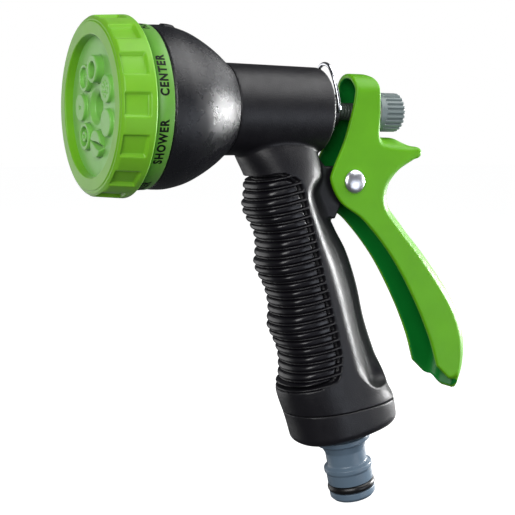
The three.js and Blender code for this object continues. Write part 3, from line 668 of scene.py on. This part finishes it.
def handle_section(v, y, s):
    """Rounded section of the handle before the scoops, negative inside, and how far a place faces front."""
    front, rear, width, ridge = (at(c, s) for c in (FRONT_EDGE, REAR_EDGE, HALF_WIDTH, RIDGE))
    widest = front + (ridge - 3 - front) * 0.62
    ahead = v < widest
    reach = np.where(ahead, widest - front, rear - widest)
    along = np.abs(v - widest) / reach
    across = np.abs(y) / width
    total = np.sqrt(along ** 2 + np.where(ahead, across ** 2.35, across ** 2.67))
    share = along ** 2 / np.maximum(total ** 2, 1e-6)
    return (total - 1) * (reach * share + width * 0.82 * (1 - share)) + INSET, np.where(ahead, share, 0)


def scoop(v, y, s):
    """The hollow on each side between the ridge and the narrow spine."""
    ridge = at(RIDGE, s)
    radius = np.clip(at(REAR_EDGE, s) - 1.5 - ridge, 4, 12)
    hollow = both(ridge - v, SPINE - np.abs(y), radius)
    return both(both(hollow, s - SCOOP_TOP, 3.0), SCOOP_BOTTOM - s, 5.0)


def from_rib(s):
    """Distance along the handle from the middle of the nearest rib."""
    return np.abs((s - RIB_START) / RIB_PITCH % 1 - 0.5) * RIB_PITCH


BRACKET = np.vstack([
    [(80, -12), (88, -19.8)],
    [(PIVOT[0] + 5.6 * math.cos(t), PIVOT[2] + 5.6 * math.sin(t)) for t in np.linspace(1.75, -1.9, 10)],
    [(92, -38.7), (82, -36)]])


def body_field(v, y, s):
    """Barrel, handle and the lever's bracket, in the handle's frame, with slots for the grip's ribs."""
    x = v * LEAN_COS - s * LEAN_SIN - BARREL[0]
    z = v * LEAN_SIN + s * LEAN_COS - BARREL[2]
    section, _ = handle_section(v, y, s)
    zone = outline_field(PAD_OUTLINE, v, s)
    grip = both(section, -scoop(v, y, s), 0.5 + 4.6 * smooth(s, 41, 52))
    grip = both(grip, s - 141)
    slots = both(both(from_rib(s) - SLOT_HALF, zone, 0.3), -(section + SLOT_DEPTH))
    core = both(both(zone + 1.0, section + SLOT_DEPTH - 0.1), -(section + CORE_DEPTH))
    grip = both(grip, -np.minimum(slots, core), 0.12)
    r = np.hypot(y, z)
    taper = BARREL_FRONT_R + (BARREL_REAR_R - BARREL_FRONT_R) * (x - BELL_END) / (BARREL_REAR_X - BELL_END)
    barrel = both(r - taper, x - BARREL_REAR_X, 0.7)
    barrel = both(barrel, BELL_END + 0.12 - x, 0.2)
    bracket = both(outline_field(BRACKET, x, z), np.abs(y) - 4.5, 0.6)
    body = either(either(grip, bracket, 1.2), barrel, 1.0)
    body = both(body, -both(r - 13.2, BARREL_REAR_X - 0.4 - x))
    body = both(body, -(np.hypot(x - PIVOT[0], z - PIVOT[2]) - 2.2))
    return both(body, SEAM + SEAM_SLOPE * v + 0.08 - s, 0.3)


def make_body():
    points, faces = sampled(body_field, (-29, -17, 32.5), (27.5, 17, 169.5), (0.5, 0.5, 0.25))
    add_piece("body_moulded", from_handle(points), faces, "body", "body_black", ["main_body"])


def pad_field(v, y, s):
    """Rubber ribs, proud at the front and stopping short of their slots' rear ends, on a common core."""
    zone = outline_field(PAD_OUTLINE, v, s)
    section, facing = handle_section(v, y, s)
    front = smooth(facing, 0.1, 0.6)
    ribs = both(section + 0.4 - 1.15 * front, from_rib(s) - RIB_HALF, 0.6 + 0.4 * front)
    ribs = both(ribs, zone + PIT_LENGTH, 0.4)
    core = both(both(zone + 1.3, section + SLOT_DEPTH), -(section + CORE_DEPTH - 0.1))
    return both(np.minimum(ribs, core), -(section + CORE_DEPTH - 0.1))


def make_pad():
    points, faces = sampled(pad_field, (-25, -16.5, 46), (0, 16.5, 128.5), (0.45, 0.45, 0.22))
    add_piece("grip_pad_ribbed", from_handle(points), faces, "body", "grip_rubber", ["grip_pad"])


def collar_field(v, y, s):
    section = both(handle_section(v, y, s)[0], RIM_BOTTOM + RIM_SLOPE * v - s, 3.2)
    section = both(section, s - SEAM - SEAM_SLOPE * v + 0.08, 0.3)
    return both(section, -(np.hypot(v, y) - 8.4), 0.3)


def make_collar():
    points, faces = sampled(collar_field, (-24, -17, 23), (26, 17, 40.5), 0.4)
    add_piece("grip_end_collar_moulded", from_handle(points), faces, "body", "body_black",
              ["grip_end_collar"])


make_body()
make_pad()
make_collar()

# ---------------------------------------------------------------- hose nipple

def upright(points):
    """A body turned about the barrel's axis, stood up along the handle's instead."""
    return from_handle(np.stack([points[:, 1], points[:, 2], points[:, 0]], 1))


def make_nipple():
    path = arcs([(0, 5.0, 0.5), (0, 7.5, 0.4), (1.2, 8.53, 0.4), (3.3, 8.53, 0.2), (3.3, 6.8), (6.3, 6.8),
                 (6.3, 8.5, 0.2), (10.4, 8.5, 0.4), (11.3, 9.02, 0.4), (12.7, 9.02, 0.4), (13.7, 7.5, 0.9),
                 (18.6, 7.5, 1.5), (21.4, 8.6, 1.5), (22.4, 10.2, 0.4), (24.0, 10.2, 0.3), (24.0, 8),
                 (30, 8), (30, 5.0)], 6)
    points, faces = turned(path, 160)
    add_piece("nipple_moulded", upright(points), faces, "body", "adapter_grey", ["hose_adapter"])
    ring = np.array([(4.8 + 1.4 * math.cos(t), 7.8 + 1.15 * math.sin(t))
                     for t in np.linspace(0, 2 * math.pi, 25)[:-1]])
    points, faces = turned(ring[::-1], 160)
    add_piece("nipple_seal", upright(points), faces, "body", "seal_rubber", ["adapter_seal_ring"])


make_nipple()

# ---------------------------------------------------------------- stem, gland, knob, wire and rivet

THREAD_PITCH = 1.25
STEM_R = 3.15


def make_stem():
    start, end = 84.0, node_span("valve_stem")[1]
    path = ([(start, 0.01)] + [(x, STEM_R) for x in np.arange(start, end - 0.5, THREAD_PITCH / 10)]
            + [(end - 0.4, 2.7), (end, 2.5), (end, 0.01)])

    def thread(x, r, angle):
        phase = np.abs((x / THREAD_PITCH - angle / (2 * math.pi)) % 1 - 0.5) * 2
        return np.where(r > 3, r - 0.2 * (1 - smooth(phase, 0.15, 0.85)), r)

    points, faces = turned(np.array(path), 48, thread, closed=False)
    add_piece("stem_thread", from_barrel(points), faces, "stem", "stem_grey")


def make_gland():
    path = arcs([(85.45, 3.6), (85.45, 6.9, 0.4), (88.2, 6.9, 0.3), (88.7, 6.5, 0.2), (89.2, 6.8, 0.3),
                 (92.6, 6.8, 1.6), (93.5, 5.0, 0.4), (93.5, 3.6)])
    points, faces = turned(path, 96)
    add_piece("gland_nut_moulded", from_barrel(points), faces, "body", "gland_black", ["gland_nut"])


KNOB_START, KNOB_END = node_span("flow_knob")
KNOB_RIBS = 24
SKIRT_END = 112.4                    # where the knob's grooves begin


def make_knob():
    path = arcs([(KNOB_START, 6.6), (KNOB_START, 7.15, 0.3), (113.0, 7.15), (KNOB_END, 7.15, 0.45),
                 (KNOB_END, 5.0, 0.2), (KNOB_END - 0.35, 4.6, 0.2), (KNOB_END - 0.35, 0.01)])
    path = dense(np.vstack([[(KNOB_START + 1.0, 0.01), (KNOB_START + 1.0, 6.5)], path]), 0.3)

    def ribbed(x, r, angle):
        phase = np.abs((angle * KNOB_RIBS / (2 * math.pi)) % 1 - 0.5) * 2
        groove = (1 - smooth(phase, 0.2, 0.6)) * smooth(x, SKIRT_END, 113.0)
        return np.where(r > 6.3, r - 0.85 * groove, r) - np.where((r > 6.9) & (x < SKIRT_END), 0.12, 0)

    points, faces = turned(path, KNOB_RIBS * 14, ribbed, closed=False)
    add_piece("flow_knob_moulded", from_barrel(points), faces, "knob", "knob_grey", ["flow_knob"])


def make_wire():
    half = [(91.2, 5.4, 0), (91.2, 7.0, 0), (91.15, 7.7, 0.9), (90.85, 7.4, 4), (90.4, 6.5, 8.5),
            (90.0, 5.4, 12), (89.6, 3.6, 15.3), (89.45, 1.9, 16.5)]
    route = spline(half + [(89.4, 0, 16.85)] + [(x, -y, z) for x, y, z in half[::-1]], 8)
    curve = bpy.data.curves.new("wire", "CURVE")
    curve.dimensions = "3D"
    curve.bevel_depth = 0.7 * MM
    curve.bevel_resolution = 6
    curve.use_fill_caps = True
    line = curve.splines.new("POLY")
    line.points.add(len(route) - 1)
    for point, place in zip(line.points, from_barrel(route)):
        point.co = (*place, 1)
    wire = bpy.data.objects.new("wire_bail", curve)
    bpy.context.scene.collection.objects.link(wire)
    bpy.context.view_layer.update()
    mesh = bpy.data.meshes.new_from_object(wire.evaluated_get(bpy.context.evaluated_depsgraph_get()))
    bpy.data.objects.remove(wire)
    points = np.array([v.co for v in mesh.vertices])
    faces = [list(p.vertices) for p in mesh.polygons]
    add_piece("wire_bail", points, faces, "lock_wire", "chrome", ["lock_wire"])


def make_rivet():
    seat = node_span("lever_rivet", 1)[1] - 2.1
    dome = [(seat + 0.35 + 1.5 * math.sin(t), 4.3 * math.cos(t))
            for t in np.linspace(0, math.pi / 2, 12)[:-1]]
    far = [(0, 2.0), (seat, 2.0), (seat, 4.1), (seat + 0.15, 4.3)] + dome + [(seat + 1.85, 0.01)]
    near = [(-y, r) for y, r in far[::-1]]
    points, faces = turned(np.array(near + far[1:]), 72, closed=False)
    placed = np.stack([points[:, 1] + PIVOT[0], points[:, 0], points[:, 2] + PIVOT[2]], 1)
    faces = [face[::-1] for face in faces]
    add_piece("rivet_polished", from_barrel(placed), faces, "body", "rivet_steel", ["lever_rivet"])


make_stem()
make_gland()
make_knob()
make_wire()
make_rivet()

# ---------------------------------------------------------------- lever

LEVER_FRONT = spline([(98.7, 15.5), (98.8, 11), (99.1, 7), (97.6, 0), (94.1, -10.9), (89.4, -21),
                      (88.8, -25.6), (93.2, -33), (102.9, -39.6), (114.8, -52.9), (124.6, -68.4),
                      (132.1, -83.8), (136.1, -95.8)])
TRIGGER_BACK = spline([(147.1, -105.9), (150.6, -95.8), (150.5, -83.7), (145.1, -70.4), (132.8, -54.0),
                       (120.6, -40.7), (114.4, -33.5), (114.3, -26.8), (118.4, -21.3), (125.0, -17.3)])
BEAK_TIP = [(127.1, -16.7), (128.1, -15.2), (127.6, -13.4), (125.6, -12.6)]
REAR_TOP = [(109.5, 7), (109.2, 10.2), (108.2, 12.4), (106.6, 13.6), (104.5, 14.6), (99.5, 15.5)]
BACK_AT_EDGE = np.vstack([TRIGGER_BACK, spline(
    BEAK_TIP + [(122.7, -13.1), (116, -12.8), (111.1, -12), (109.8, -11.0), (109.2, -9), (109.3, -4),
                (109.6, 0.2)] + REAR_TOP)])
BACK_AT_MIDDLE = np.vstack([TRIGGER_BACK, spline(
    BEAK_TIP + [(122, -10.9), (118.4, -9.4), (113.9, -9.2), (111.3, -8.6), (110.0, -6.6), (109.5, -2.5),
                (109.6, 0.2)] + REAR_TOP)])
LEVER_CHANNEL = np.vstack([
    [(80, 14), (102.5, 14)],
    spline([(104.6, 12.6), (106.3, 10.8), (107.3, 7), (107.3, 0), (106.9, -7.6), (111.2, -13.4),
            (117.5, -14.9), (113.6, -20.4), (111.8, -27), (111.9, -34), (117.6, -43), (129.4, -56.6),
            (141.4, -72.4), (147, -84.5), (147.3, -95)]),
    [(145.4, -106), (110, -108), (80, -60)]])
LEVER_TOP_Z = 13
LEVER_TOP_HALF_WIDTH = 7
LEVER_WIDENING = 2                   # how much the half width grows over LEVER_LENGTH
LEVER_LENGTH = 118
LEVER_WALL = 1.85
ARCH_Z = 6.7
SHADE_SKIN = 0.35                          # how near the channel's surface a face's middle may lie to take the lever's painted shade
BACK_RADII = np.array([(-100, 6.0), (-45, 6.6), (-30, 4.2), (-20, 2.0), (-16, 1.3), (-8, 1.2), (-5, 0.9)])


def nearest(curve, x, z):
    """Distance to an open curve in a plane."""
    best = np.full(np.broadcast(x, z).shape, 1e9)
    for px, pz in curve:
        best = np.minimum(best, (x - px) ** 2 + (z - pz) ** 2)
    return np.sqrt(best)


def lever_width(y, z):
    """Half width of the lever at a height, and the signed distance across it, negative inside."""
    half = LEVER_TOP_HALF_WIDTH + (LEVER_TOP_Z - z) * LEVER_WIDENING / LEVER_LENGTH
    return half, np.where(z > ARCH_Z, np.hypot(y, z - ARCH_Z), np.abs(y)) - half


def lever_field(x, y, z):
    """Trigger, beak and arched top: a channel open to the front, with its back edges rounded the most."""
    half, across = lever_width(y, z)
    crown = np.clip(1 - (y / half) ** 2, 0, 1)
    outline = (outline_field(np.vstack([LEVER_FRONT, BACK_AT_EDGE]), x, z) * (1 - crown)
               + outline_field(np.vstack([LEVER_FRONT, BACK_AT_MIDDLE]), x, z) * crown)
    to_front, to_back = nearest(LEVER_FRONT, x, z), nearest(BACK_AT_EDGE, x, z)
    backness = smooth(to_front / (to_front + to_back + 1e-6), 0.45, 0.8)
    back_radius = at(BACK_RADII, z)
    outer = both(outline, across, 0.5 + (back_radius - 0.5) * backness)
    channel = both(outline_field(LEVER_CHANNEL, x, z), across + LEVER_WALL,
                   np.maximum(1.2, back_radius - 1.6))
    lever = both(outer, -channel, 0.4)
    slot = both(both(np.abs(y) - 3.5, np.abs(z - 1.3) - 4.9, 1.5), 100 - x)
    lever = both(lever, -slot, 0.4)
    return both(lever, -(np.hypot(x - PIVOT[0], z - PIVOT[2]) - 2.25))


def make_lever():
    """The moulded lever, with painted shade: the inside of its channel is drawn in a darker green."""
    points, faces = sampled(lever_field, (86.5, -10, -107), (152.5, 10, 15.5), 0.42)
    lever = add_piece("lever_moulded", from_barrel(points), faces, "lever", "lever_green", ["lever"])
    lever.data.materials.append(LOOKS["lever_painted_shade"])
    middles = np.array([polygon.center for polygon in lever.data.polygons]) / MM - BARREL
    x, y, z = middles.T
    across = lever_width(y, z)[1]
    # faces inside the channel take the painted shade, a darker green standing in for the shadow there
    hollow = (outline_field(LEVER_CHANNEL, x, z) < SHADE_SKIN) & (across < SHADE_SKIN - LEVER_WALL) & (x > 90)
    lever.data.polygons.foreach_set("material_index", hollow.astype(np.int32))


make_lever()

# ---------------------------------------------------------------- floor

FLOOR_DROP = 0.0005


def make_floor():
    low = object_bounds()[0].z - FLOOR_DROP
    half = 6.0
    mesh = bpy.data.meshes.new("floor")
    corners = [(-half, -half, low), (half, -half, low), (half, half, low), (-half, half, low)]
    mesh.from_pydata(corners, [], [(0, 1, 2, 3)])
    material = bpy.data.materials.new("floor")
    material.use_nodes = True
    shader = material.node_tree.nodes["Principled BSDF"]
    shader.inputs["Base Color"].default_value = (0.3, 0.3, 0.3, 1)
    shader.inputs["Roughness"].default_value = 0.9
    shader.inputs["Emission Color"].default_value = (1, 1, 1, 1)
    shader.inputs["Emission Strength"].default_value = 0.97
    mesh.materials.append(material)
    floor = bpy.data.objects.new("floor", mesh)
    bpy.context.scene.collection.objects.link(floor)
    floor.visible_diffuse = False
    floor.visible_glossy = False
    floor.visible_shadow = False


make_floor()
